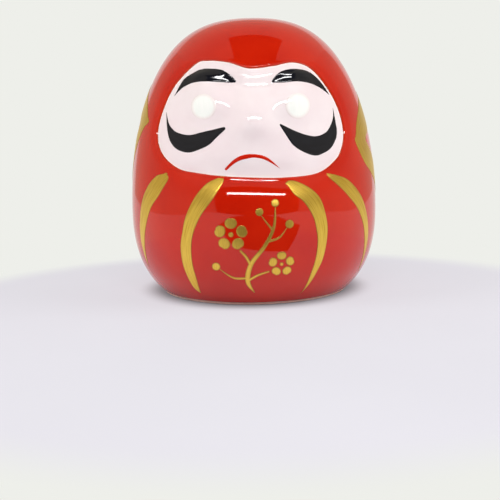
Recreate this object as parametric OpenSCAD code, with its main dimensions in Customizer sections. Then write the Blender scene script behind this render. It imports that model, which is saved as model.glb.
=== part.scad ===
// Glazed ceramic daruma doll: a hollow slip-cast body, its coloured glazes
// and the enamel and gold brushwork fired on top.
// Origin: centre of the foot, on the surface the doll stands on. The face looks along -Y.

/* [Body] */
// Height from the foot to the crown
doll_height = 81; // [71:1:91]
// Widest radius of the body
body_radius = 37.2; // [35.6:0.1:38.6]
// Height of the widest level
waist_height = 24.5; // [23:0.1:26]
// Thickness of the fired clay wall
wall = 4; // [3:0.1:6]

/* [Foot] */
// Height of the bare foot below the red glaze
foot_height = 0.6; // [0.5:0.1:1.6]
// Width of the ring that touches the table
foot_ring_width = 3.2; // [2:0.1:5]
// Depth of the hollow under the base
foot_recess = 1.4; // [0.8:0.1:2]
// Diameter of the firing vent in the base
vent_diameter = 3.6; // [2:0.1:3.8]

/* [Face] */
// How far each eyeball stands out of the face
eyeball_rise = 1.1; // [0.5:0.1:1.6]
// How far the nose stands out of the face
nose_rise = 1.8; // [0.8:0.1:2.4]
// Diameter of each white eye disc
eye_diameter = 6.8; // [5:0.1:7.4]

/* [Glaze and enamel] */
// Thickness of the red and the face glaze
glaze = 0.3; // [0.2:0.05:0.5]
// Thickness of the black, white and gold brushwork
enamel = 0.2; // [0.1:0.05:0.3]

/* [Plum sprig] */
// Radius of the large blossom
large_blossom_radius = 4.9; // [3.5:0.1:5.2]
// Radius of the small blossom
small_blossom_radius = 3.9; // [2.5:0.1:4.2]
// Petals in each blossom
petal_count = 5; // [5:1:6]

/* [Hidden] */
$fn = 96;
crown_steps = 22;
belly_steps = 10;
curve_steps = 3;
crown_power = 2.75;                // higher makes the shoulders squarer
belly_power = 3.4;                 // higher keeps the belly wide for longer
belly_fall = 2.3;                  // higher makes the belly turn under later
belly_reach = 30;                  // depth below the waist at which the belly curve would close
foot_chamfer = 0.3;
prism_near = 4;                    // brushwork prisms start this far from the axis
prism_far = 60;
drawn_height = 81;                 // height that the painted outlines are drawn for
paint_scale = doll_height / drawn_height;
crown_rise = doll_height - waist_height;
lowest_turn = asin((waist_height - foot_height) / belly_reach);
clay_skin = -glaze;                // offset of the clay under the red glaze
face_skin = -2 * glaze;            // offset of the clay under the face glaze
eyeball_radius = 9;
nose_radius = 8;
left_turn = -34;                   // direction that each belly stripe is painted from
right_turn = 25;
outer_left_turn = -60;
outer_right_turn = 50;
sleeve_turn = 75;

// ---- Painted outlines, in mm across and mm up on the 81 mm doll ----

face_outline = [
    [-0.75, 65.25], [5.5, 65.75], [11.75, 66.75], [16.75, 64.75], [21.25, 59.25], [24, 53.75],
    [25.25, 47.75], [24.5, 43.25], [22.5, 40], [17.25, 36.75], [8, 36], [-0.75, 36.25],
    [-8.75, 36.75], [-15.25, 37.5], [-20.75, 38.75], [-25.25, 42.5], [-26.75, 47.5],
    [-25.5, 53.5], [-21.75, 61], [-15.5, 67], [-11.75, 67.75], [-6.25, 67]
];
left_brow_top = [
    [-21.75, 58.25], [-19, 62.75], [-16.25, 64.5], [-13.75, 65.5],
    [-11, 65.5], [-8, 65], [-5.75, 63.5], [-4.5, 62.25]
];
left_brow_foot = [
    [-21.75, 58.25], [-19.25, 60.5], [-16.25, 61.75], [-13, 62],
    [-9.25, 61.75], [-6, 61.5], [-4.75, 61.5]
];
right_brow_top = [
    [21.5, 57.75], [19.75, 60.5], [17.5, 63], [15, 64.5],
    [11.5, 65], [8.5, 64.5], [6.5, 63.25], [5.5, 62]
];
right_brow_foot = [[21.5, 57.75], [18.75, 59.75], [15.75, 61], [12.25, 61.5], [8.5, 61.25], [5.75, 61.25]];
left_whisker_top = [
    [-24, 54.25], [-23.25, 51], [-22, 49.25], [-20.25, 48.25],
    [-17.25, 47.75], [-13.75, 48.5], [-10.25, 49.25], [-8, 49.75]
];
left_whisker_foot = [
    [-24, 54.25], [-23.75, 49.25], [-23, 46.25], [-21.5, 44.25], [-19.5, 43.25],
    [-17.25, 43], [-14.75, 43.75], [-12, 45], [-9.5, 47.25], [-7.5, 49]
];
right_whisker_top = [
    [22.25, 54.5], [22.25, 52], [21.5, 49.75], [20, 47.75], [17.25, 46.75],
    [14.25, 47.25], [11, 48.5], [9, 49.5], [7.5, 50.25]
];
right_whisker_foot = [
    [22.25, 54.5], [23, 50], [23.25, 47.5], [22.75, 45.5], [21.25, 43.25], [19, 42],
    [16.75, 41.5], [13.75, 42.5], [10.75, 44.5], [8.5, 47.75], [7.25, 49.75]
];
mouth_top = [
    [-7.75, 38.75], [-5.75, 40.75], [-3.75, 42], [-1.75, 42.5], [0, 42.5],
    [1.75, 42.25], [3.25, 41.75], [5, 40.5], [7.25, 38.25]
];
mouth_foot = [
    [-7.25, 38.25], [-5.5, 39.75], [-3.75, 40.75], [-1.75, 41.25], [0, 41.5],
    [1.75, 41.25], [3.25, 40.75], [5, 39.75], [7.25, 38.25]
];
inner_left_front = [
    [12, 36], [12, 34.5], [10.25, 30.5], [7, 26], [4.75, 21.5],
    [3.75, 17.75], [3.25, 12.75], [3.25, 8], [2.5, 3.5]
];
inner_left_back = [
    [10.25, 36.25], [8, 35], [6.5, 33.25], [4.75, 30.5], [2.25, 25.75], [1, 21.5],
    [0, 17.5], [-0.25, 12.5], [0.25, 8.25], [1, 5], [2.5, 3.5]
];
inner_right_front = [
    [-6.25, 34], [-5, 31.5], [-2.5, 29.25], [0, 25.25], [1, 21.75],
    [1.5, 18.25], [1.25, 13.5], [0.5, 9.5], [-0.25, 5.25], [-1, 2.75]
];
inner_right_back = [
    [-6.75, 34.5], [-5.5, 35.25], [-3, 34.75], [0.25, 32.75], [2.75, 29.75], [4.5, 24.25],
    [4.75, 19.75], [4, 14], [2.75, 10.25], [1, 6], [-1, 2.75]
];
outer_left_front = [[11.75, 37], [12.25, 35.5], [9.25, 31.25], [5.5, 27.5], [2.5, 22.5], [0.25, 17.5], [-2.5, 9]];
outer_left_back = [[10.5, 37.25], [7.5, 36.5], [3.5, 33.5], [0, 29], [-2, 23.5], [-3, 17], [-2.5, 9]];
outer_right_front = [[-9.5, 36.75], [-9, 35], [-4, 30.5], [0.75, 26.25], [4.25, 21.25], [6.25, 16], [9, 6]];
outer_right_back = [[-9.5, 36.75], [-6.75, 36], [-2.5, 34.25], [3.25, 29.5], [7, 23.5], [9, 16], [9, 6]];
sleeve_right_front = [
    [14, 63], [4, 58.5], [-2.75, 55], [-8.75, 50.5], [-11.5, 46.5], [-12.5, 45.5], [-11.75, 43],
    [-8.75, 38.75], [-3.75, 35.5], [2, 32], [8, 27], [13.5, 19]
];
sleeve_right_back = [[14, 63], [9.5, 54.5], [3.5, 48.75], [-2.25, 46.5], [-4.5, 45], [-1.5, 42.5], [5, 37], [13.5, 19]];
sleeve_left_front = [
    [-15, 66], [-6.5, 63], [0, 59], [4.25, 55.75], [6.75, 53], [8.5, 51.5],
    [5.5, 49.75], [2.75, 46.75], [0, 43.5], [-5, 36.5], [-12.5, 24]
];
sleeve_left_back = [[-15, 66], [-11, 59], [-5.5, 54.5], [-1, 51], [-4, 47], [-9, 40], [-12.5, 24]];
twigs = [                          // across, up, width
    [[-0.5, 4.5, 0.4], [-2.25, 8, 1.5], [-1.25, 13, 1.4], [2.5, 18, 1.1], [5, 23, 0.9], [5.5, 28.25, 0.4]],
    [[-1.25, 12.5, 0.9], [-2.5, 15, 0.9], [-4, 16.75, 0.7]],
    [[-2, 8.25, 0.9], [0.5, 9.75, 0.8], [3.5, 10.75, 0.6]],
    [[-2, 9, 0.8], [-6, 9, 0.7], [-9.75, 11.5, 0.3]],
    [[3.5, 19.25, 0.8], [6.5, 20.25, 0.6], [8.5, 22.75, 0.3]],
    [[4.75, 22.25, 0.7], [3, 24.5, 0.5], [1.75, 26.25, 0.3]]
];
large_blossom_place = [-6.5, 21.25];
small_blossom_place = [7, 12.75];
bud_places = [[5.5, 29.5, 1.1], [9.25, 23.75, 1.2], [-10.75, 12.25, 1.2], [1.25, 27.25, 1.1]];
petal_share = 0.34;                // petal radius, as a share of the blossom's
petal_reach = 0.61;                // petal centre's distance from the middle, as a share
heart_share = 0.15;

// ---- Curves ----

// A point of the smooth curve between b and c, with its neighbours a and d
function between(a, b, c, d, t) =
    0.5 * (2 * b + (c - a) * t + (2 * a - 5 * b + 4 * c - d) * t * t + (3 * b - a - 3 * c + d) * t * t * t);

// Smooth open curve through points, without its last point
function open_curve(p) = let (last = len(p) - 1) [
    for (i = [0 : last - 1])
        for (s = [0 : curve_steps - 1])
            between(p[max(i - 1, 0)], p[i], p[i + 1], p[min(i + 2, last)], s / curve_steps)
];

// Smooth closed curve through points
function closed_curve(p) = let (n = len(p)) [
    for (i = [0 : n - 1])
        for (s = [0 : curve_steps - 1])
            between(p[(i + n - 1) % n], p[i], p[(i + 1) % n], p[(i + 2) % n], s / curve_steps)
];

function reversed(p) = [for (i = [len(p) - 1 : -1 : 0]) p[i]];

// One brush stroke: its two edges, each running from the tip to the end
function stroke(edge_a, edge_b) = concat(
    open_curve(edge_a), [edge_a[len(edge_a) - 1]],
    [edge_b[len(edge_b) - 1]], reversed(open_curve(edge_b))
);

// Brush line through points of [across, up, width]
function brush_line(p) =
    let (
        centre = concat(open_curve(p), [p[len(p) - 1]]),
        last = len(centre) - 1,
        side = [
            for (i = [0 : last])
                let (along = centre[min(i + 1, last)] - centre[max(i - 1, 0)])
                    [-along[1], along[0]] / norm([along[0], along[1]]) * centre[i][2] / 2
        ],
        middle = [for (c = centre) [c[0], c[1]]]
    ) concat(
        [for (i = [0 : last]) middle[i] + side[i]],
        [for (i = [last : -1 : 0]) middle[i] - side[i]]
    );

// ---- Body profile ----

function crown_point(turn) = [
    body_radius * pow(max(1 - pow(sin(turn), 2), 0), 1 / crown_power),
    waist_height + crown_rise * sin(turn)
];
function belly_point(turn) = [
    body_radius * pow(1 - pow(sin(turn), belly_fall), 1 / belly_power),
    waist_height - belly_reach * sin(turn)
];

// Glazed profile from the crown down to where the glaze ends
profile = concat(
    [for (i = [crown_steps : -1 : 0]) crown_point(90 * i / crown_steps)],
    [for (i = [1 : belly_steps]) belly_point(lowest_turn * i / belly_steps)]
);

// The profile moved square to itself by grow
function moved(grow) = [
    for (i = [0 : len(profile) - 1])
        let (
            along = profile[min(i + 1, len(profile) - 1)] - profile[max(i - 1, 0)],
            square = i == 0 ? [0, 1] : [-along[1], along[0]] / norm(along)
        ) profile[i] + grow * square
];

// ---- Building blocks ----

// Solid of the glazed body, moved by grow, with its underside closed below the glaze
module form(grow) {
    edge = moved(grow);
    end = edge[len(edge) - 1];
    rotate_extrude() polygon(concat(edge, [[0, end[1]]]));
}

// Thin coat between two offsets of the body's surface
module coat(inner, outer) {
    rotate_extrude() polygon(concat(moved(outer), reversed(moved(inner))));
}

// Block that cuts an outline out of a coat, seen from the front and turned about the axis
module block(outline, turn = 0) {
    rotate([90, 0, turn])
        translate([0, 0, prism_near])
            linear_extrude(prism_far)
                scale(paint_scale)
                    polygon(outline);
}

module face_block() {
    block(closed_curve(face_outline));
}

// Ball whose cap stands out of the face at a place, by rise
module ball(place, radius, rise, grow) {
    surface = body_radius * pow(1 - pow((place[1] - waist_height) / crown_rise, 2), 1 / crown_power);
    depth = sqrt(surface * surface - place[0] * place[0]);
    out = [place[0], -depth, 0] / surface;
    reach = surface + face_skin + rise - radius;
    translate([out[0] * reach, out[1] * reach, place[1]]) sphere(radius + grow);
}

left_eye_place = [-13.25, 55.25] * paint_scale;
right_eye_place = [12.25, 55] * paint_scale;
nose_place = [0, 52] * paint_scale;

module eyeballs(grow) {
    ball(left_eye_place, eyeball_radius, eyeball_rise, grow);
    ball(right_eye_place, eyeball_radius, eyeball_rise, grow);
}

module nose(grow) {
    ball(nose_place, nose_radius, nose_rise, grow);
}

// Front of the face in relief, moved out by grow from the clay
module face_form(grow) {
    form(face_skin + grow);
    eyeballs(grow);
    nose(grow);
}

// Paint on the red body
module on_robe(outline, turn = 0) {
    intersection() {
        coat(0, enamel);
        block(outline, turn);
    }
}

// Paint on the face
module on_face(outline) {
    intersection() {
        coat(face_skin + glaze, face_skin + glaze + enamel);
        block(outline);
    }
}

module eye_disc(place) {
    intersection() {
        difference() {
            face_form(glaze + enamel);
            face_form(glaze);
        }
        translate([place[0], -prism_near, place[1]])
            rotate([90, 0, 0])
                cylinder(h = prism_far, d = eye_diameter);
    }
}

module blossom(place, radius) {
    intersection() {
        coat(0, enamel);
        rotate([90, 0, 0])
            translate([0, 0, prism_near])
                linear_extrude(prism_far)
                    scale(paint_scale)
                        translate(place) {
                            circle(radius * heart_share);
                            for (i = [0 : petal_count - 1])
                                rotate(90 + 360 * i / petal_count)
                                    translate([radius * petal_reach, 0])
                                        circle(radius * petal_share);
                        }
    }
}

// ---- Sub-parts ----

module ceramic_body() {
    base = foot_recess + wall;
    edge = moved(clay_skin);
    foot_radius = edge[len(edge) - 1][0];
    color("Linen") difference() {
        union() {
            difference() {
                rotate_extrude() polygon(concat(edge, [
                    [foot_radius, foot_chamfer],
                    [foot_radius - foot_chamfer, 0],
                    [foot_radius - foot_ring_width, 0],
                    [foot_radius - foot_ring_width - foot_chamfer, foot_recess],
                    [0, foot_recess]
                ]));
                intersection() {
                    coat(face_skin, wall);
                    face_block();
                }
            }
            eyeballs(0);
            nose(0);
        }
        difference() {
            form(clay_skin - wall);
            translate([0, 0, -prism_far + base])
                linear_extrude(prism_far) circle(body_radius * 2);
        }
        translate([0, 0, -1]) cylinder(h = base + 2, d = vent_diameter);
    }
}

module red_glaze() {
    color("Firebrick") difference() {
        coat(clay_skin, 0);
        face_block();
    }
}

module face_glaze() {
    color("MistyRose") difference() {
        intersection() {
            face_form(glaze);
            face_block();
        }
        face_form(0);
    }
}

module left_eye() {
    color("White") eye_disc(left_eye_place);
}

module right_eye() {
    color("White") eye_disc(right_eye_place);
}

module left_brow() {
    color("Black") on_face(stroke(left_brow_top, left_brow_foot));
}

module right_brow() {
    color("Black") on_face(stroke(right_brow_top, right_brow_foot));
}

module left_whisker() {
    color("Black") on_face(stroke(left_whisker_top, left_whisker_foot));
}

module right_whisker() {
    color("Black") on_face(stroke(right_whisker_top, right_whisker_foot));
}

module mouth() {
    color("Red") on_face(stroke(mouth_top, mouth_foot));
}

module inner_stripe_left() {
    color("Gold") on_robe(stroke(inner_left_front, inner_left_back), left_turn);
}

module inner_stripe_right() {
    color("Gold") on_robe(stroke(inner_right_front, inner_right_back), right_turn);
}

module outer_stripe_left() {
    color("Gold") on_robe(stroke(outer_left_front, outer_left_back), outer_left_turn);
}

module outer_stripe_right() {
    color("Gold") on_robe(stroke(outer_right_front, outer_right_back), outer_right_turn);
}

module sleeve_band_left() {
    color("Gold") on_robe(stroke(sleeve_left_front, sleeve_left_back), -sleeve_turn);
}

module sleeve_band_right() {
    color("Gold") on_robe(stroke(sleeve_right_front, sleeve_right_back), sleeve_turn);
}

module sprig_branch() {
    color("Gold") intersection() {
        coat(0, enamel);
        union() {
            for (twig = twigs) block(brush_line(twig));
        }
    }
}

module large_blossom() {
    color("Gold") blossom(large_blossom_place, large_blossom_radius);
}

module small_blossom() {
    color("Gold") blossom(small_blossom_place, small_blossom_radius);
}

module sprig_buds() {
    color("Gold") intersection() {
        coat(0, enamel);
        rotate([90, 0, 0])
            translate([0, 0, prism_near])
                linear_extrude(prism_far)
                    scale(paint_scale)
                        for (bud = bud_places)        // across, up, radius
                            translate([bud[0], bud[1]]) circle(bud[2]);
    }
}

ceramic_body();
red_glaze();
face_glaze();
left_eye();
right_eye();
left_brow();
right_brow();
left_whisker();
right_whisker();
mouth();
inner_stripe_left();
inner_stripe_right();
outer_stripe_left();
outer_stripe_right();
sleeve_band_left();
sleeve_band_right();
sprig_branch();
large_blossom();
small_blossom();
sprig_buds();
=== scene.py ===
import math
import random

import bmesh
import bpy
import numpy as np
from mathutils import Matrix, Vector


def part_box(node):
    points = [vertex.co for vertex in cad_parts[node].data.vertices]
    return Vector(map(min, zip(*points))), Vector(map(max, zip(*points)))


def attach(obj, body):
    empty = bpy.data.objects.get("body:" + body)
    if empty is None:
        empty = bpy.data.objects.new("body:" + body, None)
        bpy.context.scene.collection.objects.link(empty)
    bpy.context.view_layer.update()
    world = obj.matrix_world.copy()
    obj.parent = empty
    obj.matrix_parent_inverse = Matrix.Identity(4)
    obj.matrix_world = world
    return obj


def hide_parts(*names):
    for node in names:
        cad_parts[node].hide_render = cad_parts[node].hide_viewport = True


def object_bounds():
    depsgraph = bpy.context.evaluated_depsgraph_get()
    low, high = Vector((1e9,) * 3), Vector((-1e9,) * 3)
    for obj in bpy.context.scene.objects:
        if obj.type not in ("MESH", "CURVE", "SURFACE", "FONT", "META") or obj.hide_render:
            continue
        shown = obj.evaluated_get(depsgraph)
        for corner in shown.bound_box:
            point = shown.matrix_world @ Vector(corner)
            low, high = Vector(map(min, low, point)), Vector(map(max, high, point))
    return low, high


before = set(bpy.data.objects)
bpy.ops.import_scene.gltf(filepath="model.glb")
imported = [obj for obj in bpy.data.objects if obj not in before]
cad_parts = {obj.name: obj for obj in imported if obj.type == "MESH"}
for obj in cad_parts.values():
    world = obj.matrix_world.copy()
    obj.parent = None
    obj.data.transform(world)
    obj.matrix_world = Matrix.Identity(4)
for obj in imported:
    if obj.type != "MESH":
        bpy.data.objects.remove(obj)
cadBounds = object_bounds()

random.seed(8)
mm = 0.001                          # everything below is thought out in mm

# ---- sizes that the frame gives ----

dollHeight = (cadBounds[1].z - cadBounds[0].z) / mm
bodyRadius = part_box("red_glaze")[1].x / mm
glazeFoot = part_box("red_glaze")[0].z / mm  # height at which the red glaze stops
drawn = dollHeight / 81             # the painted outlines are drawn for an 81 mm doll

form = {
    "waist": 0.3025 * dollHeight,   # height of the widest level
    "reach": 0.3704 * dollHeight,   # how far below the waist the belly curve would close
    "crownPower": 2.75,             # higher makes squarer shoulders
    "bellyPower": 3.4,              # higher keeps the belly wide for longer
    "bellyFall": 2.3,
    "lowest": 0.2,                  # height at which the profile stops
    "crownSteps": 1200,
    "bellySteps": 400,
    "windowCentre": 51 * drawn,     # height of the middle of the face window
    "around": 360,                  # mesh points round the window
}


def smooth(low, high, x):
    t = np.clip((x - low) / (high - low), 0, 1)
    return t * t * (3 - 2 * t)


def mix(a, b, share):
    return a + (b - a) * share


def wrapped(angle):
    # the same angle between half a turn back and half a turn on
    return (angle + math.pi) % (2 * math.pi) - math.pi


# ---- the egg ----

def eggProfile():
    # radius, height and length of the line from the crown down to the foot
    crown = np.linspace(math.pi / 2, 0, form["crownSteps"])
    rise = dollHeight - form["waist"]
    topR = bodyRadius * (np.cos(crown) ** 2) ** (1 / form["crownPower"])
    topZ = form["waist"] + rise * np.sin(crown)
    down = np.linspace(0, math.asin((form["waist"] - form["lowest"]) / form["reach"]), form["bellySteps"])[1:]
    lowR = bodyRadius * (1 - np.sin(down) ** form["bellyFall"]) ** (1 / form["bellyPower"])
    lowZ = form["waist"] - form["reach"] * np.sin(down)
    radius = np.concatenate([topR, lowR])
    height = np.concatenate([topZ, lowZ])
    steps = np.hypot(np.diff(radius), np.diff(height))
    return radius, height, np.concatenate([[0], np.cumsum(steps)])


profileRadius, profileHeight, profileLength = eggProfile()


def radiusAt(length):
    return np.interp(length, profileLength, profileRadius)


def heightAt(length):
    return np.interp(length, profileLength, profileHeight)


def lengthAt(height):
    return np.interp(-np.asarray(height, float), -profileHeight, profileLength)


def lift(turn, length, out):
    # point of the egg at a turn from the front and a length from the crown, moved out along the normal
    radius, height = radiusAt(length), heightAt(length)
    rise = np.clip((height - form["waist"]) / (dollHeight - form["waist"]), 0, 1)
    fall = np.clip((form["waist"] - height) / form["reach"], 0, 1)
    share = radius / bodyRadius
    above = height > form["waist"]
    power = np.where(above, form["crownPower"], form["bellyPower"])
    across = power * share ** (power - 1) / bodyRadius
    up = np.where(above, 2 * rise / (dollHeight - form["waist"]),
                  -form["bellyFall"] * fall ** (form["bellyFall"] - 1) / form["reach"])
    size = np.hypot(across, up)
    radius = radius + out * across / size
    height = height + out * up / size
    return np.stack([radius * np.sin(turn), -radius * np.cos(turn), height], -1)


def painted(across, up, turn=0):
    # place on the egg of a painted point, given as it looks from straight in front of that turn
    length = lengthAt(np.asarray(up, float) * drawn)
    side = np.clip(np.asarray(across, float) * drawn / radiusAt(length), -1, 1)
    return math.radians(turn) + np.arcsin(side), length


# ---- curves ----

def curveThrough(points, closed=False, steps=16):
    p = np.asarray(points, float)
    count = len(p)
    made = []
    for i in range(count if closed else count - 1):
        near = range(i - 1, i + 3)
        a, b, c, d = [p[k % count] if closed else p[min(max(k, 0), count - 1)] for k in near]
        for t in np.arange(steps) / steps:
            made.append(0.5 * (2 * b + (c - a) * t + (2 * a - 5 * b + 4 * c - d) * t ** 2
                               + (3 * b - a - 3 * c + d) * t ** 3))
    if not closed:
        made.append(p[-1])
    return np.array(made)


def lengthsAlong(points):
    return np.concatenate([[0], np.cumsum(np.linalg.norm(np.diff(points, axis=0), axis=1))])


def evenly(points, count, closed=False):
    p = np.vstack([points, points[:1]]) if closed else points
    far = lengthsAlong(p)
    want = np.linspace(0, far[-1], count + 1)[:-1] if closed else np.linspace(0, far[-1], count)
    return np.stack([np.interp(want, far, p[:, i]) for i in range(p.shape[1])], 1)


# ---- the window for the face ----

faceOutline = [
    (-0.75, 65.25), (5.5, 65.75), (11.75, 66.75), (16.75, 64.75), (21.25, 59.25), (24, 53.75),
    (25.25, 47.75), (24.5, 43.25), (22.5, 40), (17.25, 36.75), (8, 36), (-0.75, 36.25),
    (-8.75, 36.75), (-15.25, 37.5), (-20.75, 38.75), (-25.25, 42.5), (-26.75, 47.5),
    (-25.5, 53.5), (-21.75, 61), (-15.5, 67), (-11.75, 67.75), (-6.25, 67),
]
centreLength = float(lengthAt(form["windowCentre"]))


def flat(turn, length):
    # the front of the egg rolled out flat: mm to the side and mm up from the middle of the window
    return radiusAt(length) * turn, centreLength - length


def unflat(side, up):
    length = centreLength - up
    return side / radiusAt(length), length


def seenAt(across, up, turn, level):
    # place on the egg whose point, once moved out by its relief, looks to be at that painted point
    across, up = np.asarray(across, float), np.asarray(up, float)
    side, high = across, up
    facing = math.radians(turn)
    for _ in range(4):              # each round closes most of what is left
        theta, length = painted(side, high, turn)
        point = lift(theta, length, level(theta, length))
        side = side + across - (point[..., 0] * math.cos(facing) + point[..., 1] * math.sin(facing)) / drawn
        high = high + up - point[..., 2] / drawn
    return painted(side, high, turn)


# ---- relief of the hood, the belly and the face ----

relief = {
    "rim": 0.65,                    # how far the hood rounds in towards the window's sides
    "rimWidth": 3.6,
    "topRim": 0.2,                  # the same over the forehead, where it is crisp
    "topRimWidth": 1.1,
    "topFrom": (0.5, 0.85),         # sines of the angles between which the crisp rim takes over
    "chestBend": 0.024,             # how strongly the belly's top turns in below the chin
    "chestWidth": 10.7,
    "chestTurns": (20, 55),         # degrees from the front over which the bend dies out
    "chestFrom": (0.15, 0.6),       # sines of the angles below the window over which it starts
    "dish": 1.95,                   # how far the face lies behind the hood
    "shallow": 0.35,                # how much it comes forward again above the nose
    "shallowSpan": (-1, 6),         # mm up from the window's middle over which it does
    "dishStart": 0.6,               # share of the way out at which it starts to rise again
    "step": 0.2,                    # edge of the red glaze above the face glaze
    "featureEnd": 0.8,              # share of the way out at which the features start to fade
    "eyeRise": 1.7,
    "eyeSize": (9, 9.4),
    "leftEye": (-13.2, 58),
    "rightEye": (12.6, 57.6),
    "noseRise": 1.9,
    "nosePlace": (0.3, 50.6),
    "noseWidth": 6.2,
    "noseAbove": 8,
    "noseBelow": 3.6,
    "browRise": 0.8,
    "browPlace": (13.5, 64.2),
    "browSize": (6, 1.6),
    "hollow": 0.1,                  # dip between each brow and its eye
    "hollowPlace": (10.5, 60.2),
    "hollowSize": (7, 1.5),
}


def reliefOutside(turn, angle, away):
    above = smooth(*relief["topFrom"], np.sin(angle))
    rimWidth = mix(relief["rimWidth"], relief["topRimWidth"], above)
    rim = -mix(relief["rim"], relief["topRim"], above) * np.clip(1 - away / rimWidth, 0, 1) ** 2
    chest = -relief["chestBend"] * np.clip(relief["chestWidth"] - away, 0, None) ** 2
    front = 1 - smooth(*np.radians(relief["chestTurns"]), np.abs(turn))
    below = smooth(*relief["chestFrom"], -np.sin(angle))
    return mix(rim, chest, front * below)


def edgeRelief(turn, length):
    side, up = flat(turn, length)
    return reliefOutside(turn, np.arctan2(up, side), 0)


outline = curveThrough(faceOutline, closed=True)
outlineFlat = np.stack(flat(*seenAt(outline[:, 0], outline[:, 1], 0, edgeRelief)), 1)
outlineFlat = evenly(outlineFlat, form["around"], closed=True)
outlineAngle = np.arctan2(outlineFlat[:, 1], outlineFlat[:, 0])
outlineReach = np.hypot(outlineFlat[:, 0], outlineFlat[:, 1])
outlineTurn, outlineLength = unflat(outlineFlat[:, 0], outlineFlat[:, 1])
outlineLevel = edgeRelief(outlineTurn, outlineLength)
order = np.argsort(outlineAngle)


def roundWindow(angle, values):
    # a value that is known at each point of the outline, at any angle from the window's middle
    return np.interp(angle, outlineAngle[order], values[order], period=2 * math.pi)


def outsideDistance(turn, length):
    side, up = flat(turn, length)
    angle = np.arctan2(up, side)
    return np.hypot(side, up) - roundWindow(angle, outlineReach), angle


def robeRelief(turn, length):
    away, angle = outsideDistance(turn, length)
    return reliefOutside(turn, angle, np.maximum(away, 0))


def offset(side, up, place):
    # mm to the side and up from a place that is given as seen from the front
    at = flat(*painted(*place))
    return side - at[0], up - at[1]


def bump(side, up, place, size):
    # 1 in the middle, falling off like a bell
    x, y = offset(side, up, place)
    return np.exp(-((x / size[0]) ** 2 + (y / size[1]) ** 2))


def faceRelief(turn, length):
    side, up = flat(turn, length)
    angle = np.arctan2(up, side)
    share = np.hypot(side, up) / roundWindow(angle, outlineReach)
    edge = roundWindow(angle, outlineLevel) - relief["step"]
    dish = relief["shallow"] * smooth(*relief["shallowSpan"], up) - relief["dish"]
    level = mix(dish, edge, smooth(relief["dishStart"], 1, share))
    features = 0
    for name in ("leftEye", "rightEye"):
        x, y = offset(side, up, relief[name])
        far = (x / relief["eyeSize"][0]) ** 2 + (y / relief["eyeSize"][1]) ** 2
        features = features + relief["eyeRise"] * np.clip(1 - far, 0, None) ** 2
    x, y = offset(side, up, relief["nosePlace"])
    noseHeight = np.where(y > 0, relief["noseAbove"], relief["noseBelow"])
    features = features + relief["noseRise"] * np.exp(-(x / relief["noseWidth"]) ** 2 - (y / noseHeight) ** 2)
    for hand in (-1, 1):
        brow = (hand * relief["browPlace"][0], relief["browPlace"][1])
        hollow = (hand * relief["hollowPlace"][0], relief["hollowPlace"][1])
        features = features + relief["browRise"] * bump(side, up, brow, relief["browSize"])
        features = features - relief["hollow"] * bump(side, up, hollow, relief["hollowSize"])
    return level + features * (1 - smooth(relief["featureEnd"], 1, share))


def onRelief(level):
    # a surface to paint on: gives the point at a painted place, moved out from that relief
    def surface(across, up, turn, out):
        theta, length = seenAt(across, up, turn, level)
        return lift(theta, length, level(theta, length) + out)
    return surface


onRobe = onRelief(robeRelief)
onFace = onRelief(faceRelief)


# ---- meshes: a stack of rings, closed by a point at each end or by joining the last to the first ----

def stack(rings, marks, first=None, last=None):
    count = rings.shape[1]
    points = rings.reshape(-1, 3)
    notes = marks.reshape(-1, 3)
    here = np.arange(count)
    after = (here + 1) % count
    joined = first is None
    faces = []
    for row in range(len(rings) if joined else len(rings) - 1):
        a, b = row * count, (row + 1) % len(rings) * count
        faces += np.stack([a + here, a + after, b + after, b + here], 1).tolist()
    if not joined:
        top, end = len(points), len(points) + 1
        points = np.vstack([points, first, last])
        notes = np.vstack([notes, marks[0].mean(0), marks[-1].mean(0)])
        faces += [[top, j, i] for i, j in zip(here.tolist(), after.tolist())]
        back = (len(rings) - 1) * count
        faces += [[end, back + i, back + j] for i, j in zip(here.tolist(), after.tolist())]
    return points, notes, faces


def makePiece(name, parts, material, node, sharp=50):
    points, notes, faces = [], [], []
    start = 0
    for partPoints, partNotes, partFaces in parts:
        points.append(partPoints)
        notes.append(partNotes)
        faces += [[start + i for i in face] for face in partFaces]
        start += len(partPoints)
    mesh = bpy.data.meshes.new(name)
    mesh.from_pydata((np.vstack(points) * mm).tolist(), [], faces)
    tidy = bmesh.new()
    tidy.from_mesh(mesh)
    bmesh.ops.recalc_face_normals(tidy, faces=tidy.faces)
    tidy.to_mesh(mesh)
    tidy.free()
    # along the stroke, across it and in from its edge, in mm
    brush = mesh.attributes.new("brush", "FLOAT_VECTOR", "POINT")
    brush.data.foreach_set("vector", np.vstack(notes).astype(np.float32).ravel())
    mesh.shade_smooth()
    mesh.set_sharp_from_angle(angle=math.radians(sharp))
    mesh.materials.append(material)
    piece = bpy.data.objects.new(name, mesh)
    bpy.context.scene.collection.objects.link(piece)
    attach(piece, "root")
    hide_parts(node)
    return piece


# ---- materials ----

def colour(text):
    # sRGB hex to the linear colour that Blender wants
    values = [int(text[i:i + 2], 16) / 255 for i in (1, 3, 5)]
    return [v / 12.92 if v <= 0.04045 else ((v + 0.055) / 1.055) ** 2.4 for v in values] + [1]


def addNode(tree, kind, settings=None, links=None):
    node = tree.nodes.new("ShaderNode" + kind)
    for name, value in (settings or {}).items():
        if name == "stops":
            ramp = node.color_ramp
            while len(ramp.elements) < len(value):
                ramp.elements.new(0.5)
            for element, (place, shade) in zip(ramp.elements, value):
                element.position = place
                element.color = colour(shade)
        elif isinstance(name, str) and hasattr(node, name):
            setattr(node, name, value)
        else:
            node.inputs[name].default_value = value
    for name, socket in (links or {}).items():
        tree.links.new(socket, node.inputs[name])
    return node


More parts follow.
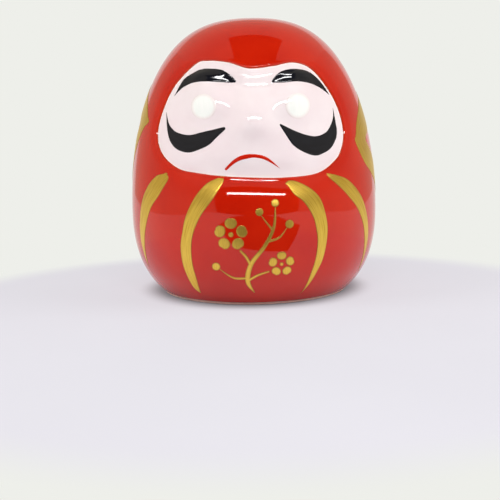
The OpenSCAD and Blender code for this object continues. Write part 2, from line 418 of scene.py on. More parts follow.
def emptyMaterial(name, shaderKind, settings):
    material = bpy.data.materials.new(name)
    material.use_nodes = True
    tree = material.node_tree
    tree.nodes.clear()
    shader = addNode(tree, shaderKind, settings)
    addNode(tree, "OutputMaterial", links={"Surface": shader.outputs[0]})
    return material, tree, shader


def newMaterial(name, look):
    return emptyMaterial(name, "BsdfPrincipled", {"Roughness": look["roughness"], "IOR": 1.5})


def placeInMm(tree):
    # object space in mm, so that a noise scale of 1 / size gives marks of that size
    space = addNode(tree, "TexCoord")
    return addNode(tree, "VectorMath", {"operation": "SCALE", "Scale": 1 / mm},
                   {0: space.outputs["Object"]}).outputs[0]


def brushMarks(tree):
    brush = addNode(tree, "Attribute", {"attribute_name": "brush"})
    return addNode(tree, "SeparateXYZ", links={0: brush.outputs["Vector"]}).outputs


def colourToEdge(tree, shader, body, fromEdge, look):
    # the coat's own colour, and another near its edge, where the coat thins out; on the face glaze that other
    # colour is a painted highlight along the rim
    edge = addNode(tree, "MapRange", {"From Max": look["edgeWidth"], "To Min": 1, "To Max": 0},
                   {"Value": fromEdge})
    base = addNode(tree, "Mix", {"data_type": "RGBA", 7: colour(look["edge"])},
                   {0: edge.outputs[0], 6: body})
    tree.links.new(base.outputs[2], shader.inputs["Base Color"])


# Gloss glaze over clay: even where it lies thick, another colour near an edge (the red where it drains off,
# the face a painted highlight along its rim), and not quite flat, so that mirrored edges waver a little
def glazeMaterial(name, look):
    material, tree, shader = newMaterial(name, look)
    space = placeInMm(tree)
    pool = addNode(tree, "TexNoise", {"Scale": 1 / look["poolSize"], "Detail": 3}, {"Vector": space})
    body = addNode(tree, "ValToRGB", {"stops": [(0.35, look["thick"]), (0.65, look["even"])]},
                   {"Fac": pool.outputs["Fac"]})
    colourToEdge(tree, shader, body.outputs["Color"], brushMarks(tree)["Z"], look)
    ripple = addNode(tree, "TexNoise", {"Scale": 1 / look["rippleSize"], "Detail": 1}, {"Vector": space})
    peel = addNode(tree, "TexNoise", {"Scale": 1 / look["peelSize"], "Detail": 2}, {"Vector": space})
    waves = addNode(tree, "Bump", {"Strength": 1, "Distance": look["rippleHeight"] * mm},
                    {"Height": ripple.outputs["Fac"]})
    skin = addNode(tree, "Bump", {"Strength": 1, "Distance": look["peelHeight"] * mm},
                   {"Height": peel.outputs["Fac"], "Normal": waves.outputs[0]})
    tree.links.new(skin.outputs[0], shader.inputs["Normal"])
    return material


# Red gloss glaze, dipped: deep red, and paler where the clay shows through at an edge
redGlaze = {
    "thick": "#B81802",
    "even": "#C11F04",
    "edge": "#B8401F",
    "edgeWidth": 0.3,               # mm over which it thins out
    "poolSize": 14,                 # mm, slow drift of the colour
    "rippleSize": 5,                # mm, waves in the surface
    "rippleHeight": 0.012,
    "peelSize": 0.9,                # mm, orange peel
    "peelHeight": 0.0012,
    "roughness": 0.04,
}

# Pale gloss glaze, brushed into the window: milky, with a faint pink from the clay under it; its paler rim
# along the window is a painted highlight
faceGlaze = {
    "thick": "#ECE0E3",
    "even": "#E9DADE",
    # whiter rim along the window's edge: a painted highlight of the glaze's rim
    "edge": "#F7EFEE",
    "edgeWidth": 0.7,
    "poolSize": 9,
    "rippleSize": 4,
    "rippleHeight": 0.008,
    "peelSize": 0.7,
    "peelHeight": 0.001,
    "roughness": 0.06,
}

# Overglaze enamel, brushed: each stroke is glassy, and faintly streaked along the way the brush went.
# The streaks and the edges are in mm, and so is the height of the ridges that the hairs leave.
blackEnamel = {"stops": [(0.35, "#0D0D14"), (0.7, "#181920")], "edge": "#1E1D24", "edgeWidth": 0.12,
               "streakLength": 6, "streakWidth": 0.5, "ridge": 0.003, "roughness": 0.07}
whiteEnamel = {"stops": [(0.35, "#EFF1EE"), (0.7, "#F4F4F2")], "edge": "#EBDEDE", "edgeWidth": 0.9,
               "streakLength": 4, "streakWidth": 0.8, "ridge": 0.002, "roughness": 0.06}
mouthEnamel = {"stops": [(0.35, "#B81505"), (0.7, "#C92008")], "edge": "#C43A22", "edgeWidth": 0.12,
               "streakLength": 4, "streakWidth": 0.3, "ridge": 0.002, "roughness": 0.08}

# Gold lustre, brushed and fired: a thin metal film with fine brush lines, rust-brown and only partly metal
# where it thins at the rim
goldLustre = {"stops": [(0.3, "#D8A83E"), (0.55, "#F5D05C")], "edge": "#8E3A0E", "edgeWidth": 0.36,
              "metalAtEdge": 0.3, "streakLength": 7, "streakWidth": 0.22, "ridge": 0.006, "roughness": 0.38}


def brushedMaterial(name, look):
    material, tree, shader = newMaterial(name, look)
    marks = brushMarks(tree)
    lanes = addNode(tree, "CombineXYZ", links={0: marks["X"], 1: marks["Y"]})
    pulled = addNode(tree, "VectorMath", {"operation": "MULTIPLY", 1: (1 / look["streakLength"],
                     1 / look["streakWidth"], 1)}, {0: lanes.outputs[0]})
    streak = addNode(tree, "TexNoise", {"Scale": 1, "Detail": 3}, {"Vector": pulled.outputs[0]})
    body = addNode(tree, "ValToRGB", {"stops": look["stops"]}, {"Fac": streak.outputs["Fac"]})
    colourToEdge(tree, shader, body.outputs["Color"], marks["Z"], look)
    if "metalAtEdge" in look:
        metal = addNode(tree, "MapRange", {"From Max": look["edgeWidth"], "To Min": look["metalAtEdge"],
                        "To Max": 1}, {"Value": marks["Z"]})
        tree.links.new(metal.outputs[0], shader.inputs["Metallic"])
    ridge = addNode(tree, "Bump", {"Strength": 1, "Distance": look["ridge"] * mm},
                    {"Height": streak.outputs["Fac"]})
    tree.links.new(ridge.outputs[0], shader.inputs["Normal"])
    return material


# Fired clay, sponged: matt cream-pink, softly clouded and with fine grog
bisque = {
    "cream": "#E9C3B4",
    "pink": "#DFAE9F",
    "cloudSize": 6,                 # mm
    "grainSize": 0.35,              # mm, drawn coarser than real grog so that it shows
    "grainHeight": 0.02,
    "roughness": 0.75,
}


def bisqueMaterial():
    material, tree, shader = newMaterial("fired clay, sponged", bisque)
    space = placeInMm(tree)
    cloud = addNode(tree, "TexNoise", {"Scale": 1 / bisque["cloudSize"], "Detail": 4}, {"Vector": space})
    body = addNode(tree, "ValToRGB", {"stops": [(0.35, bisque["pink"]), (0.65, bisque["cream"])]},
                   {"Fac": cloud.outputs["Fac"]})
    grain = addNode(tree, "TexNoise", {"Scale": 1 / bisque["grainSize"], "Detail": 4}, {"Vector": space})
    rough = addNode(tree, "Bump", {"Strength": 1, "Distance": bisque["grainHeight"] * mm},
                    {"Height": grain.outputs["Fac"]})
    tree.links.new(body.outputs["Color"], shader.inputs["Base Color"])
    tree.links.new(rough.outputs[0], shader.inputs["Normal"])
    return material


# ---- glazes: a skin with an outside and an inside, which share the rim ----

def skinPart(outside, inside, ends=()):
    # both are rows of (turn, length, level, mm from the coat's edge), given outwards to the rim
    rows = outside + inside[::-1]
    rings = [lift(turn, length, level) for turn, length, level, edge in rows]
    marks = [np.stack([length, turn * radiusAt(length), edge], 1) for turn, length, level, edge in rows]
    return stack(np.array(rings), np.array(marks), *ends)


# ---- red glaze: from the window's outline over the head and belly to the foot ----

coat = {
    "thickness": 0.3,
    "rows": 100,
    "crowding": 1.5,                # higher sets more of the rows close to the window
    "footRows": (0.35, 0.65, 0.82, 0.92, 0.98, 1),
    "edgeRound": 0.35,              # mm over which the glaze rounds down at an edge
    "edgeDrop": 0.16,
    "bead": 0.13,                   # roll of thicker glaze along the window
    "beadAt": 0.5,
    "beadWidth": 0.38,
    "footGap": 0.9,                 # mm above the glaze's end where the last rows begin
    "waver": 0.1,                   # how far the glaze's end wanders up and down
    "pulled": 1.8,                  # how far it is drawn up at one place, in wavers
    "pulledAt": -0.55,              # radians from the front, to the viewer's left
    "pulledWidth": 0.3,
}


def glazeEnd(turn):
    # the glaze stops in an uneven line round the foot, and highest at the front left
    wander = np.sin(3 * turn + 1.1) + 0.6 * np.sin(7 * turn + 0.4) + 0.4 * np.sin(13 * turn)
    pulled = coat["pulled"] * np.exp(-((turn - coat["pulledAt"]) / coat["pulledWidth"]) ** 2)
    return lengthAt(glazeFoot) - coat["waver"] * (1 + 0.5 * wander + pulled)


def robeRows(step=1):
    # rows of (turn, length) on rays that leave the window's middle, seen on a disc round the crown
    disc = np.stack([outlineLength * np.sin(outlineTurn), -outlineLength * np.cos(outlineTurn)], 1)
    middle = np.array([0, -centreLength])
    ray = disc - middle
    ray /= np.linalg.norm(ray, axis=1)[:, None]
    reach = float(lengthAt(glazeFoot)) - coat["footGap"] - 2 * coat["waver"]
    half = ray @ middle
    far = -half + np.sqrt(half ** 2 - middle @ middle + reach ** 2)
    end = middle + ray * far[:, None]
    rows = []
    for share in (np.arange(0, coat["rows"] + 1, step) / coat["rows"]) ** coat["crowding"]:
        at = mix(disc, end, share)
        rows.append((np.arctan2(at[:, 0], -at[:, 1]), np.hypot(at[:, 0], at[:, 1])))
    turn, last = rows[-1]
    return rows + [(turn, mix(last, glazeEnd(turn), share)) for share in coat["footRows"]]


def redGlazePart():
    outside, inside = [], []
    for index, (turn, length) in enumerate(robeRows()):
        away = outsideDistance(turn, length)[0] if index else np.zeros(len(turn))
        edge = np.minimum(np.maximum(away, 0), glazeEnd(turn) - length)
        level = robeRelief(turn, length)
        drop = coat["edgeDrop"] * np.clip(1 - edge / coat["edgeRound"], 0, 1) ** 2
        bead = coat["bead"] * np.exp(-((away - coat["beadAt"]) / coat["beadWidth"]) ** 2)
        outside.append((turn, length, level - drop + bead, edge))
        if index % 2 == 0 or index > coat["rows"]:
            inside.append((turn, length, level - coat["thickness"], edge))
    return skinPart(outside, inside)


# ---- face glaze: from the middle of the face out to the same outline ----

faceRows = np.concatenate([np.linspace(0, 0.97, 72)[1:], [0.98, 0.988, 0.995, 1]])


def faceRow(share):
    return unflat(outlineFlat[:, 0] * share, outlineFlat[:, 1] * share)


def facePart():
    outside, inside = [], []
    for index, share in enumerate(faceRows):
        turn, length = faceRow(share)
        level = faceRelief(turn, length)
        edge = outlineReach * (1 - share)
        outside.append((turn, length, level, edge))
        if index % 3 == 0 or share == 1:
            inside.append((turn, length, level - coat["thickness"], edge))
    middle = faceRelief(0.0, centreLength)
    ends = [lift(0.0, centreLength, level) for level in (middle, middle - coat["thickness"])]
    return skinPart(outside, inside, ends)


# ---- clay body: the same surface just under the glazes, then the foot, the vent and the hollow ----

clay = {
    "wall": 4,
    "gap": 0.01,                    # keeps the clay from touching the glaze's underside
    "footInset": 0.15,              # how far the bare foot stands in from the glaze's end
    "ringWidth": 3.2,
    "chamfer": 0.3,
    "undercut": 0.5,                # worn-round lower edge, which keeps a dark line on the table
    "undercutTurns": (15, 40, 65, 90),  # degrees round that edge
    "recess": 1.4,
    "vent": 3.6,
    "ventRound": 0.2,
    "hollowRows": 40,
    "hollowFrom": 2,                # mm up the profile from the base's inside, where its rows start
}


def clayPart():
    depth = coat["thickness"] + clay["gap"]
    pick = slice(None, None, 2)
    rows = []
    for share in faceRows[::3]:
        turn, length = faceRow(share)
        rows.append(lift(turn, length, faceRelief(turn, length) - depth)[pick])
    for turn, length in robeRows(2)[1:]:
        rows.append(lift(turn, length, robeRelief(turn, length) - depth)[pick])
    turn = np.arctan2(rows[-1][:, 0], -rows[-1][:, 1])

    # the foot, the base and the vent as (radius, height), from the outside in
    side = float(radiusAt(lengthAt(glazeFoot))) - clay["footInset"]
    inner = side - clay["ringWidth"]
    edge, undercut, recess, vent = clay["chamfer"], clay["undercut"], clay["recess"], clay["vent"] / 2
    base = recess + clay["wall"]
    steps = [(side, glazeFoot), (side, mix(undercut, glazeFoot, 0.3))]
    for t in np.radians(clay["undercutTurns"]):
        steps.append((side - 2 * undercut * (1 - math.cos(t)), undercut * (1 - math.sin(t))))
    steps += [(mix(side - edge, inner, 0.5), 0), (inner, 0), (inner - edge / 2, edge / 2),
              (inner - edge, recess), (inner / 2, recess), (vent + clay["ventRound"], recess),
              (vent, recess + clay["ventRound"]), (vent, mix(recess, base, 0.5)), (vent, base)]
    for radius, height in steps:
        level = np.full(len(turn), float(height))
        rows.append(np.stack([radius * np.sin(turn), -radius * np.cos(turn), level], 1))

    inside = -(coat["thickness"] + clay["wall"])
    for length in np.linspace(float(lengthAt(base)) - clay["hollowFrom"], 0, clay["hollowRows"])[:-1]:
        rows.append(lift(turn, np.full(len(turn), length), inside))
    start = lift(0.0, centreLength, faceRelief(0.0, centreLength) - depth)
    end = np.array([0, 0, dollHeight + inside])
    rows = np.array(rows)
    return stack(rows, np.zeros_like(rows), start, end)


# ---- brushwork ----

brushwork = {
    "thickness": 0.12,
    "softEdge": 0.3,                # mm over which a stroke rounds down to its edge
    "sunk": 0.03,                   # underside, just inside the glaze
    "bluntFrom": 0.1,               # half the width from which an end gets rounded
    "capLength": 0.8,               # length of that round end, as a share of half the width
    "capTurns": (25, 45, 60, 72, 82, 88),  # degrees round it
    "steps": 64,
    "twigSteps": 40,
    "lanes": 15,
    "dabPoints": 48,
    "dabRings": 14,
}


def pillow(inFromEdge, thickness):
    full = np.clip(inFromEdge / brushwork["softEdge"], 0, 1)
    return thickness * np.sqrt(np.clip(1 - (1 - full) ** 2, 0, 1))


def capped(a, b):
    # adds a round end wherever the two edges of a stroke don't meet
    for flip in (False, True):
        a, b = (a[::-1], b[::-1]) if flip else (a, b)
        half = (a[-1] - b[-1]) / 2
        if np.linalg.norm(half) > brushwork["bluntFrom"]:
            middle = (a[-1] + b[-1]) / 2
            onward = middle - (a[-4] + b[-4]) / 2
            onward /= np.linalg.norm(onward)
            reach = np.linalg.norm(half) * brushwork["capLength"]
            for t in np.radians(brushwork["capTurns"]):
                centre = middle + onward * reach * math.sin(t)
                a = np.vstack([a, centre + half * math.cos(t)])
                b = np.vstack([b, centre - half * math.cos(t)])
        a, b = (a[::-1], b[::-1]) if flip else (a, b)
    return a, b


def strokePart(edgeA, edgeB, turn, surface, thickness):
    a, b = capped(edgeA, edgeB)
    width = np.linalg.norm(a - b, axis=1)
    middle = (a + b) / 2
    along = lengthsAlong(middle)
    lanes = (1 - np.cos(np.linspace(0, math.pi, brushwork["lanes"]))) / 2
    across = np.concatenate([lanes, lanes[::-3][1:-1]])  # over the top, then back underneath
    onTop = np.arange(len(across)) < len(lanes)
    rings, notes = [], []
    for i in range(1, len(a) - 1):
        at = a[i] + (b[i] - a[i]) * across[:, None]
        inside = np.minimum(across, 1 - across) * width[i]
        inside = np.minimum(inside, np.minimum(along[i], along[-1] - along[i]))
        out = np.where(onTop, pillow(inside, thickness), 0) - brushwork["sunk"]
        rings.append(surface(at[:, 0], at[:, 1], turn, out))
        notes.append(np.stack([np.full(len(across), along[i]), (across - 0.5) * width[i], inside], 1))
    first, last = [surface(*point, turn, -brushwork["sunk"]) for point in (middle[0], middle[-1])]
    return stack(np.array(rings), np.array(notes), first, last)


def stroke(edgeA, edgeB, turn, surface, thickness):
    a, b = [evenly(curveThrough(edge), brushwork["steps"]) for edge in (edgeA, edgeB)]
    return strokePart(a, b, turn, surface, thickness)


def brushLine(points):
    line = evenly(curveThrough(points), brushwork["twigSteps"])
    ahead = np.gradient(line[:, :2], axis=0)
    side = np.stack([-ahead[:, 1], ahead[:, 0]], 1) / np.linalg.norm(ahead, axis=1)[:, None]
    half = line[:, 2:] / 2
    return strokePart(line[:, :2] + side * half, line[:, :2] - side * half, 0, onRobe, brushwork["thickness"])


def dab(place, radius, surface, shape=None):
    # a round touch of the brush; shape gives its reach at each angle, as a share of the radius
    count, thickness = brushwork["dabPoints"], brushwork["thickness"]
    angle = np.arange(count) * 2 * math.pi / count
    reach = radius * (shape(angle) if shape else np.ones(count))
    domed = np.sin(np.linspace(0.1, math.pi / 2, brushwork["dabRings"]))
    rings, notes = [], []
    for share, onTop in [(share, True) for share in domed] + [(0.7, False), (0.3, False)]:
        x = place[0] + reach * share * np.cos(angle)
        y = place[1] + reach * share * np.sin(angle)
        inside = reach * (1 - share)
        out = (pillow(inside, thickness) if onTop else np.zeros(count)) - brushwork["sunk"]
        rings.append(surface(x, y, 0, out))
        notes.append(np.stack([y - place[1], x - place[0], inside], 1))
    first = surface(*place, 0, pillow(radius, thickness) - brushwork["sunk"])
    last = surface(*place, 0, -brushwork["sunk"])
    return stack(np.array(rings), np.array(notes), first, last)


print("shapes ready")

makePiece("clay_body", [clayPart()], bisqueMaterial(), "ceramic_body", sharp=40)
makePiece("red_coat", [redGlazePart()], glazeMaterial("red gloss glaze, dipped", redGlaze),
          "red_glaze")
makePiece("face_coat", [facePart()], glazeMaterial("pale gloss glaze, brushed", faceGlaze),
          "face_glaze")
print("body and glazes done")

# Black brows and whiskers: both edges of each stroke, from the thin end to the blunt one
blackStrokes = {
    "left_brow": (
        [(-21.75, 58.25), (-19, 62.75), (-16.25, 64.5), (-13.75, 65.5), (-11, 65.5), (-8, 65),
         (-5.75, 63.5), (-4.5, 62.25)],
        [(-21.75, 58.25), (-19.25, 60.5), (-16.25, 61.75), (-13, 62), (-9.25, 61.75), (-6, 61.5),
         (-4.75, 61.5)]),
    "right_brow": (
        [(21.5, 57.75), (19.75, 60.5), (17.5, 63), (15, 64.5), (11.5, 65), (8.5, 64.5), (6.5, 63.25),
         (5.5, 62)],
        [(21.5, 57.75), (18.75, 59.75), (15.75, 61), (12.25, 61.5), (8.5, 61.25), (5.75, 61.25)]),
    "left_whisker": (
        [(-24, 54.25), (-23.25, 51), (-22, 49.25), (-20.25, 48.25), (-17.25, 47.75), (-13.75, 48.5),
         (-10.25, 49.25), (-8, 49.75)],
        [(-24, 54.25), (-23.75, 49.25), (-23, 46.25), (-21.5, 44.25), (-19.5, 43.25), (-17.25, 43),
         (-14.75, 43.75), (-12, 45), (-9.5, 47.25), (-7.5, 49)]),
    "right_whisker": (
        [(22.25, 54.5), (22.25, 52), (21.5, 49.75), (20, 47.75), (17.25, 46.75), (14.25, 47.25),
         (11, 48.5), (9, 49.5), (7.5, 50.25)],
        [(22.25, 54.5), (23, 50), (23.25, 47.5), (22.75, 45.5), (21.25, 43.25), (19, 42), (16.75, 41.5),
         (13.75, 42.5), (10.75, 44.5), (8.5, 47.75), (7.25, 49.75)]),
}
blackThickness = 0.14
black = brushedMaterial("black overglaze enamel, brushed", blackEnamel)
for name, (edgeA, edgeB) in blackStrokes.items():
    part = stroke(edgeA, edgeB, 0, onFace, blackThickness)
    makePiece(name + "_enamel", [part], black, name)

# Red mouth: upper and lower edge of one thin stroke
mouth = {
    "top": [(-7.75, 38.75), (-5.75, 40.75), (-3.75, 42), (-1.75, 42.5), (0, 42.5), (1.75, 42.25),
            (3.25, 41.75), (5, 40.5), (7.25, 38.25)],
    "foot": [(-7.25, 38.25), (-5.5, 39.75), (-3.75, 40.75), (-1.75, 41.25), (0, 41.5), (1.75, 41.25),
             (3.25, 40.75), (5, 39.75), (7.25, 38.25)],
    "thickness": 0.1,
}
makePiece("mouth_enamel", [stroke(mouth["top"], mouth["foot"], 0, onFace, mouth["thickness"])],
          brushedMaterial("red overglaze enamel, brushed", mouthEnamel), "mouth")

# White eye discs on the eyeballs, which this kind of doll keeps blank until a wish is made
eyes = {"left_eye": (-13.25, 55.25), "right_eye": (12.25, 55)}
eyeRadius = 3.45
white = brushedMaterial("white overglaze enamel, dabbed", whiteEnamel)
for name, place in eyes.items():
    makePiece(name + "_enamel", [dab(place, eyeRadius, onFace)], white, name)
print("face painted")

# Gold strokes of the robe: both edges, and the turn about the doll that each was painted from
goldStrokes = {
    "inner_stripe_left": (
        -34, [(12, 36), (12, 34.5), (10.25, 30.5), (7, 26), (4.75, 21.5), (3.75, 17.75), (3.25, 12.75),
         (3.25, 8), (2.5, 3.5)],
        [(10.25, 36.25), (8, 35), (6.5, 33.25), (4.75, 30.5), (2.25, 25.75), (1, 21.5), (0, 17.5),
         (-0.25, 12.5), (0.25, 8.25), (1, 5), (2.5, 3.5)]),
    "inner_stripe_right": (
        25, [(-6.25, 34), (-5, 31.5), (-2.5, 29.25), (0, 25.25), (1, 21.75), (1.5, 18.25), (1.25, 13.5),
         (0.5, 9.5), (-0.25, 5.25), (-1, 2.75)],
        [(-6.75, 34.5), (-5.5, 35.25), (-3, 34.75), (0.25, 32.75), (2.75, 29.75), (4.5, 24.25),
         (4.75, 19.75), (4, 14), (2.75, 10.25), (1, 6), (-1, 2.75)]),
    "outer_stripe_left": (
        -60, [(11.75, 37), (12.25, 35.5), (9.25, 31.25), (5.5, 27.5), (2.5, 22.5), (0.25, 17.5), (-2.5, 9)],
        [(10.5, 37.25), (7.5, 36.5), (3.5, 33.5), (0, 29), (-2, 23.5), (-3, 17), (-2.5, 9)]),
    "outer_stripe_right": (
        50, [(-9.5, 36.75), (-9, 35), (-4, 30.5), (0.75, 26.25), (4.25, 21.25), (6.25, 16), (9, 6)],
        [(-9.5, 36.75), (-6.75, 36), (-2.5, 34.25), (3.25, 29.5), (7, 23.5), (9, 16), (9, 6)]),
    "sleeve_band_left": (
        -75, [(-15, 66), (-6.5, 63), (0, 59), (4.25, 55.75), (6.75, 53), (8.5, 51.5), (5.5, 49.75),
              (2.75, 46.75), (0, 43.5), (-5, 36.5), (-12.5, 24)],
        [(-15, 66), (-11, 59), (-5.5, 54.5), (-1, 51), (-4, 47), (-9, 40), (-12.5, 24)]),
    "sleeve_band_right": (
        75, [(14, 63), (4, 58.5), (-2.75, 55), (-8.75, 50.5), (-11.5, 46.5), (-12.5, 45.5), (-11.75, 43),
             (-8.75, 38.75), (-3.75, 35.5), (2, 32), (8, 27), (13.5, 19)],
        [(14, 63), (9.5, 54.5), (3.5, 48.75), (-2.25, 46.5), (-4.5, 45), (-1.5, 42.5), (5, 37), (13.5, 19)]),
}
gold = brushedMaterial("gold lustre, brushed and fired", goldLustre)
for name, (turn, edgeA, edgeB) in goldStrokes.items():
    part = stroke(edgeA, edgeB, turn, onRobe, brushwork["thickness"])
    makePiece(name + "_lustre", [part], gold, name)

# Plum sprig on the belly: twigs as across, up and width, then blossoms and buds
sprig = {
    "twigs": [
        [(-0.5, 4.5, 0.4), (-2.25, 8, 1.5), (-1.25, 13, 1.4), (2.5, 18, 1.1), (5, 23, 0.9),
         (5.5, 28.25, 0.4)],
        [(-1.25, 12.5, 0.9), (-2.5, 15, 0.9), (-4, 16.75, 0.7)],
        [(-2, 8.25, 0.9), (0.5, 9.75, 0.8), (3.5, 10.75, 0.6)],
        [(-2, 9, 0.8), (-6, 9, 0.7), (-9.75, 11.5, 0.3)],
        [(3.5, 19.25, 0.8), (6.5, 20.25, 0.6), (8.5, 22.75, 0.3)],
        [(4.75, 22.25, 0.7), (3, 24.5, 0.5), (1.75, 26.25, 0.3)],
    ],
    "large_blossom": (-6.5, 21.25, 4.9),
    "small_blossom": (7, 12.75, 3.9),
    "buds": [(5.5, 29.5, 1.1), (9.25, 23.75, 1.2), (-10.75, 12.25, 1.2), (1.25, 27.25, 1.1)],
    "petals": 5,
    "petalShare": 0.34,             # petal radius as a share of the blossom's
    "petalReach": 0.61,
    "heartShare": 0.15,
    "broad": 0.06,                  # how much wider a petal is outside than at the heart
    "square": 0.05,
    "notch": 0.1,                   # dip in its outer edge
    "notchWidth": 0.3,              # radians
    "unevenness": 0.05,
}


def blossomParts(across, up, radius):
    parts = [dab((across, up), radius * sprig["heartShare"], onRobe)]
    for i in range(sprig["petals"]):
        facing = math.radians(90 + 360 * i / sprig["petals"])
        at = (across + radius * sprig["petalReach"] * math.cos(facing),
              up + radius * sprig["petalReach"] * math.sin(facing))
        wobble = random.uniform(-sprig["unevenness"], sprig["unevenness"])

        def petal(angle, facing=facing, wobble=wobble):
            # broad and faintly notched outside, narrower towards the heart
            off = angle - facing
            notch = sprig["notch"] * np.exp(-(wrapped(off) / sprig["notchWidth"]) ** 2)
            return (0.97 + sprig["broad"] * np.cos(off) - sprig["square"] * np.cos(2 * off) - notch
                    + wobble * np.sin(off))

        parts.append(dab(at, radius * sprig["petalShare"], onRobe, petal))
    return parts


makePiece("sprig_branch_lustre", [brushLine(twig) for twig in sprig["twigs"]], gold,
          "sprig_branch")
for name in ("large_blossom", "small_blossom"):
    makePiece(name + "_lustre", blossomParts(*sprig[name]), gold, name)
makePiece("sprig_buds_lustre", [dab(bud[:2], bud[2], onRobe) for bud in sprig["buds"]], gold,
          "sprig_buds")
print("gold painted")

# ---- stage ----

# Pale card, painted: even, faintly mottled, with no sheen to compete with the glaze. It is translucent and
# lit from below as well, so its own grey counts for less. Its glow is darkened round the doll's foot: a
# painted shadow.
floorLook = {
    "pale": "#838288",
    "shade": "#807F85",
    "cloudSize": 60,                # mm
    "under": "#E6E5EC",
    "underGlow": 0.69,
    "glow": "#EEEFEA",              # beyond a round of pale card, it glows like the backdrop
    "middle": -40,                  # mm from the doll to the middle of that round
    "glowFrom": 92,
    "glowTo": 112,
    "paintedShadowFrom": 25,                # painted shadow: the card's glow is dimmed round the doll's foot
    "paintedShadowTo": 38,
    "paintedShadowDepth": 0.08,
    "roughness": 0.8,
}


def floorMaterial():
    material, tree, shader = newMaterial("pale card, painted", floorLook)
    shader.inputs["Specular IOR Level"].default_value = 0
    space = placeInMm(tree)
    cloud = addNode(tree, "TexNoise", {"Scale": 1 / floorLook["cloudSize"], "Detail": 2},
                    {"Vector": space})
    body = addNode(tree, "ValToRGB", {"stops": [(0.35, floorLook["shade"]), (0.65, floorLook["pale"])]},
                   {"Fac": cloud.outputs["Fac"]})
    shifted = addNode(tree, "VectorMath", {"operation": "SUBTRACT", 1: (0, floorLook["middle"], 0)},
                      {0: space})
    fromMiddle = addNode(tree, "VectorMath", {"operation": "LENGTH"}, {0: shifted.outputs[0]})
    lit = addNode(tree, "MapRange", {"interpolation_type": "SMOOTHSTEP",
                  "From Min": floorLook["glowFrom"], "From Max": floorLook["glowTo"]},
                  {"Value": fromMiddle.outputs["Value"]})
    glow = addNode(tree, "Mix", {"data_type": "RGBA", 6: colour(floorLook["under"]),
                   7: colour(floorLook["glow"])}, {0: lit.outputs[0]})
    ground = addNode(tree, "VectorMath", {"operation": "MULTIPLY", 1: (1, 1, 0)}, {0: space})
    # painted shadow: the glow is dimmed by distance from the doll's axis, darkest under its foot
    away = addNode(tree, "VectorMath", {"operation": "LENGTH"}, {0: ground.outputs[0]})
    near = addNode(tree, "MapRange", {"interpolation_type": "SMOOTHERSTEP",
                   "From Min": floorLook["paintedShadowFrom"], "From Max": floorLook["paintedShadowTo"],
                   "To Min": floorLook["paintedShadowDepth"], "To Max": 1}, {"Value": away.outputs["Value"]})
    strength = addNode(tree, "MapRange", {"To Min": floorLook["underGlow"], "To Max": 1},
                       {"Value": lit.outputs[0]})
    glowWithPaintedShadow = addNode(tree, "Math", {"operation": "MULTIPLY"},
                     {0: strength.outputs[0], 1: near.outputs[0]})
    base = addNode(tree, "Mix", {"data_type": "RGBA", 7: colour("#000000")},
                   {0: lit.outputs[0], 6: body.outputs["Color"]})
    tree.links.new(base.outputs[2], shader.inputs["Base Color"])
    tree.links.new(glowWithPaintedShadow.outputs[0], shader.inputs["Emission Strength"])
    tree.links.new(glow.outputs[2], shader.inputs["Emission Color"])
    return material


def glowMaterial(name, strength, tint="#FFFFFF"):
    return emptyMaterial(name, "Emission", {"Color": colour(tint), "Strength": strength})[0]


def wallMaterial():
    # cloth of a light tent, lit from outside: a little brighter near the floor
    material, tree, glow = emptyMaterial("tent cloth, lit", "Emission", {"Color": colour(tent["tint"])})
    space = addNode(tree, "NewGeometry")
    split = addNode(tree, "SeparateXYZ", links={0: space.outputs["Position"]})
    fade = addNode(tree, "MapRange", {"interpolation_type": "SMOOTHSTEP",
                   "From Min": tent["fade"][0] * mm, "From Max": tent["fade"][1] * mm,
                   "To Min": tent["wallLow"], "To Max": tent["wallHigh"]}, {"Value": split.outputs["Z"]})
    tree.links.new(fade.outputs[0], glow.inputs["Strength"])
    return material


def addSheet(name, points, faces, material, *hiddenFrom):
    # a sheet of the stage from points in mm, left out of what it is hidden from
    mesh = bpy.data.meshes.new(name)
    mesh.from_pydata([(x * mm, y * mm, z * mm) for x, y, z in points], [], faces)
    mesh.materials.append(material)
    sheet = bpy.data.objects.new(name, mesh)
    bpy.context.scene.collection.objects.link(sheet)
    for what in hiddenFrom:
        setattr(sheet, "visible_" + what, False)


def addOblong(name, corners, material, *hiddenFrom):
    addSheet(name, corners, [range(4)], material, *hiddenFrom)


def addGround(name, line, level, material, *hiddenFrom):
    # card on the ground between a line of (x, y) points and the straight line y = level
    columns = [i for i in range(len(line) - 1) if line[i][0] != line[i + 1][0]]
    addSheet(name, [(x, y, 0) for x, near in line for y in (near, level)],
             [[2 * i, 2 * i + 2, 2 * i + 3, 2 * i + 1] for i in columns], material, *hiddenFrom)


# Light tent of glowing cloth round the doll, open in front, where the dark room shows. The glaze mirrors it
# all, so its edges draw the pale veils and the dark patches on the doll. Everything is in mm.
tent = {
    "side": 300,                    # walls, left and right of the doll
    "back": 400,
    "top": 330,
    "wallFront": {"left": -480, "right": -390},
    "wallLow": 0.54,                # brightness below and above the fade
    "wallHigh": 0.42,
    "fade": (20, 200),
    "tint": "#FFF6E2",              # warm cloth
    "roof": 0.501,                  # over 0.5, so that the renderer samples it as a lamp
    "roofFront": -300,
    "hole": (-74, 111, -145, 36),   # opening in the roof: the dark patch on the forehead
    # front edge of the card as the glaze mirrors it, across and forward
    "card": [(-700, -700), (-104, -700), (-104, -185), (-22, -80), (26, -64), (113, -150), (113, -700),
             (700, -700)],
    "cardReach": 700,
    "backdropSide": 300,
    "surround": 600,                # radius of the pale ring that only the camera sees
    "surroundHeight": 900,
    "surroundSides": 64,
}

# Strip light in front and above: its mirror image is the thin white line on the belly, and the glints
strip = {
    "across": (-135, 176),
    "forward": -344,
    "up": 257,
    "thickness": 20,
    "glow": 40,
}

# Two soft lamps at the sides only fill: the glaze doesn't mirror them
fill = {
    "watts": {"left": 1.25, "right": 1.4},
    "place": (420, -120, 300),
    "size": 260,
}


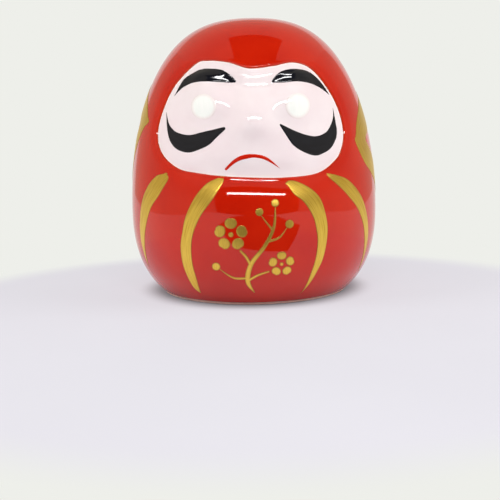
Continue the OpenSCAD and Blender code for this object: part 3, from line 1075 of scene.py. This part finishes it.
def addFill(hand, side):
    lamp = bpy.data.lights.new("fill_" + hand, "AREA")
    lamp.size = fill["size"] * mm
    lamp.energy = fill["watts"][hand]
    soft = bpy.data.objects.new(lamp.name, lamp)
    place = Vector((side * fill["place"][0], *fill["place"][1:])) * mm
    aim = place - Vector((0, 0, dollHeight / 2 * mm))
    soft.matrix_world = Matrix.Translation(place) @ aim.to_track_quat("Z", "Y").to_matrix().to_4x4()
    soft.visible_glossy = False
    bpy.context.scene.collection.objects.link(soft)


def addStrip():
    lean = math.atan2(strip["up"], -strip["forward"])
    half = strip["thickness"] / 2
    lower, upper = [(strip["forward"] + way * math.sin(lean), strip["up"] + way * math.cos(lean))
                    for way in (-half, half)]
    start, end = strip["across"]
    addOblong("strip_light", [(start, *lower), (end, *lower), (end, *upper), (start, *upper)],
              glowMaterial("strip light", strip["glow"]), "camera")


def buildStage():
    card = floorMaterial()
    back, top, edge = tent["back"], tent["top"], tent["card"]
    addGround("floor", edge, tent["cardReach"], card)
    # the glaze mirrors the dark room here, as it would past the card
    addGround("floor_front", edge[1:-1], -tent["cardReach"], card, "glossy")
    wide = tent["backdropSide"]
    addOblong("backdrop", [(-wide, back, 0), (wide, back, 0), (wide, back, top), (-wide, back, top)], card)
    count, reach = tent["surroundSides"], tent["surround"]
    turns = [2 * math.pi * i / count for i in range(count)]
    addSheet("surround", [(reach * math.sin(t), reach * math.cos(t), z) for t in turns
                          for z in (0, tent["surroundHeight"])],
             [[2 * i, 2 * i + 1, (2 * i + 3) % (2 * count), (2 * i + 2) % (2 * count)] for i in range(count)],
             card, "glossy", "diffuse", "shadow")

    roof = glowMaterial("tent roof cloth, lit", tent["roof"], tent["tint"])
    left, right, near, far = tent["hole"]
    start, side = tent["roofFront"], tent["side"]
    for name, x0, x1, y0, y1 in (("left", -side, left, start, back), ("right", right, side, start, back),
                                 ("front", left, right, start, near), ("back", left, right, far, back)):
        corners = [(x0, y0, top), (x1, y0, top), (x1, y1, top), (x0, y1, top)]
        addOblong("roof_" + name, corners, roof, "camera")
    wall = wallMaterial()
    for hand, sign in (("left", -1), ("right", 1)):
        x, front = sign * side, tent["wallFront"][hand]
        addOblong("tent_side_" + hand, [(x, front, 0), (x, back, 0), (x, back, top), (x, front, top)], wall,
                  "camera", "shadow")
        addFill(hand, sign)


buildStage()
addStrip()

# Dark room round the tent: only the glaze sees it, past the edges of the sheets
room = {"shade": "#FFFFFF", "brightness": 0.04}
world = bpy.data.worlds.new("studio")
world.use_nodes = True
bpy.context.scene.world = world
background = world.node_tree.nodes["Background"]
background.inputs["Color"].default_value = colour(room["shade"])
background.inputs["Strength"].default_value = room["brightness"]

view = {
    "place": (-1.47, -263.7, 52.6),  # mm
    "tilt": 81.094,                 # degrees from straight down
    "roll": -1.184,
    "focal": 61.7,
    "sensor": 36,
    "near": 10,
    "far": 10000,
}


def buildCamera():
    lens = bpy.data.cameras.new("camera")
    lens.lens = view["focal"]
    lens.sensor_width = view["sensor"]
    lens.clip_start = view["near"] * mm
    lens.clip_end = view["far"] * mm
    camera = bpy.data.objects.new("camera", lens)
    bpy.context.scene.collection.objects.link(camera)
    tilt = Matrix.Rotation(math.radians(view["tilt"]), 4, "X")
    roll = Matrix.Rotation(math.radians(view["roll"]), 4, "Z")
    camera.matrix_world = Matrix.Translation([c * mm for c in view["place"]]) @ tilt @ roll
    bpy.context.scene.camera = camera


buildCamera()
bpy.context.scene.view_settings.view_transform = "Standard"
print("stage, lights and camera done")
